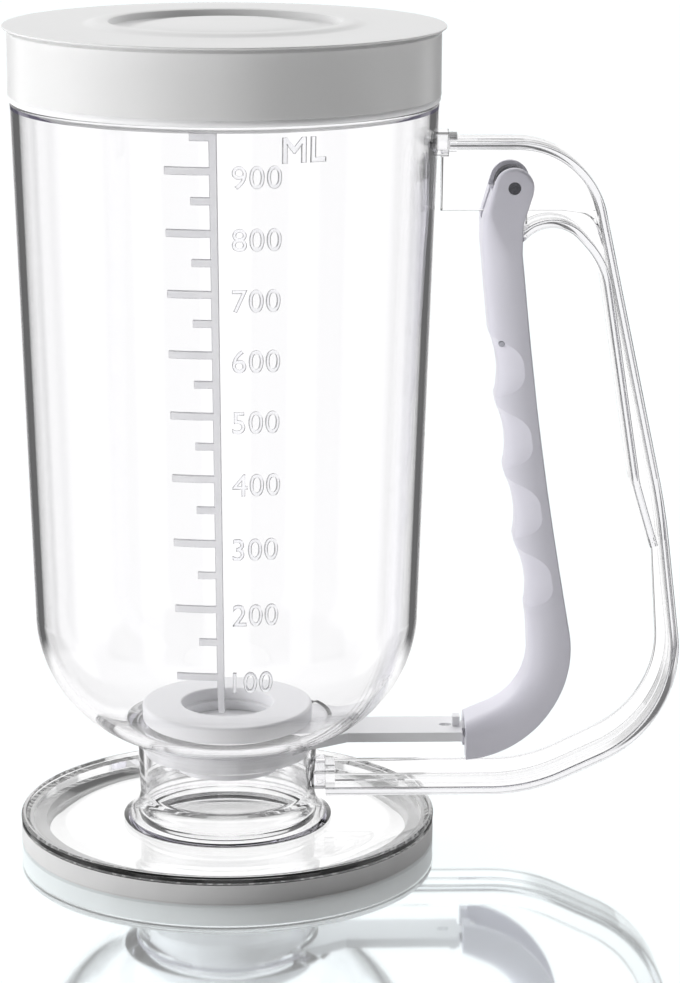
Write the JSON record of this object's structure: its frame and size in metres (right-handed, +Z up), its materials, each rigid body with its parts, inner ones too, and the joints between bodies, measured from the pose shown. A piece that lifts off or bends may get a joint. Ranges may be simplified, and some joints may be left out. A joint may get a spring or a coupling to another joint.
{
  "type": "pancake batter dispenser",
  "caption": "Clear handled jug with a press-on lid, a trigger that slides open a shutter valve in its neck to portion batter, and a lift-off drip stand.",
  "frame": {"origin": "middle of the stand's underside, on the axis of the jug and the stand", "axes": "+Z up along the jug's axis, +X towards the handle, Y across the handle"},
  "size_m": [0.166, 0.1066, 0.205],
  "materials": {
    "clear_plastic": "clear polished",
    "white_plastic": "satin gloss",
    "valve_plastic": "satin",
    "trigger_plastic": "satin gloss",
    "soft_white": "matt silicone",
    "foot_plastic": "satin, non-slip",
    "steel": "plain drawn"
  },
  "bodies": {
    "stand": {"stand_dish": "clear_plastic", "foot_ring": "foot_plastic"},
    "jug": {"jug": "clear_plastic", "handle_frame": "clear_plastic", "lid_seal": "soft_white", "valve_seat": "valve_plastic", "seat_gasket": "soft_white", "valve_retainer": "valve_plastic", "trigger_pin": "steel", "trigger_spring": "steel"},
    "lid": {"lid": "white_plastic"},
    "trigger": {"trigger": "trigger_plastic", "spring_anchor_pin": "steel"},
    "shutter": {"shutter_slide": "valve_plastic"}
  },
  "joints": [
    {"name": "jug_lift", "type": "slide", "parent": "stand", "child": "jug", "axis": [0, 0, 1], "range_m": [0, 0.03]},
    {"name": "lid_lift", "type": "slide", "parent": "jug", "child": "lid", "axis": [0, 0, 1], "range_m": [0, 0.03]},
    {"name": "trigger_squeeze", "type": "hinge", "parent": "jug", "child": "trigger", "pos_m": [0.0695, 0, 0.166], "axis": [0, -1, 0], "range_deg": [0, 10], "stiffness_Nm_per_rad": 0.07, "springref_deg": -85.94, "deforming": ["trigger_spring"]},
    {"name": "shutter_travel", "type": "slide", "parent": "jug", "child": "shutter", "axis": [1, 0, 0], "range_m": [0, 0.0243]}
  ],
  "couplings": [
    {"joint": "shutter_travel", "follows": "trigger_squeeze", "m_per_rad": 0.1388}
  ]
}
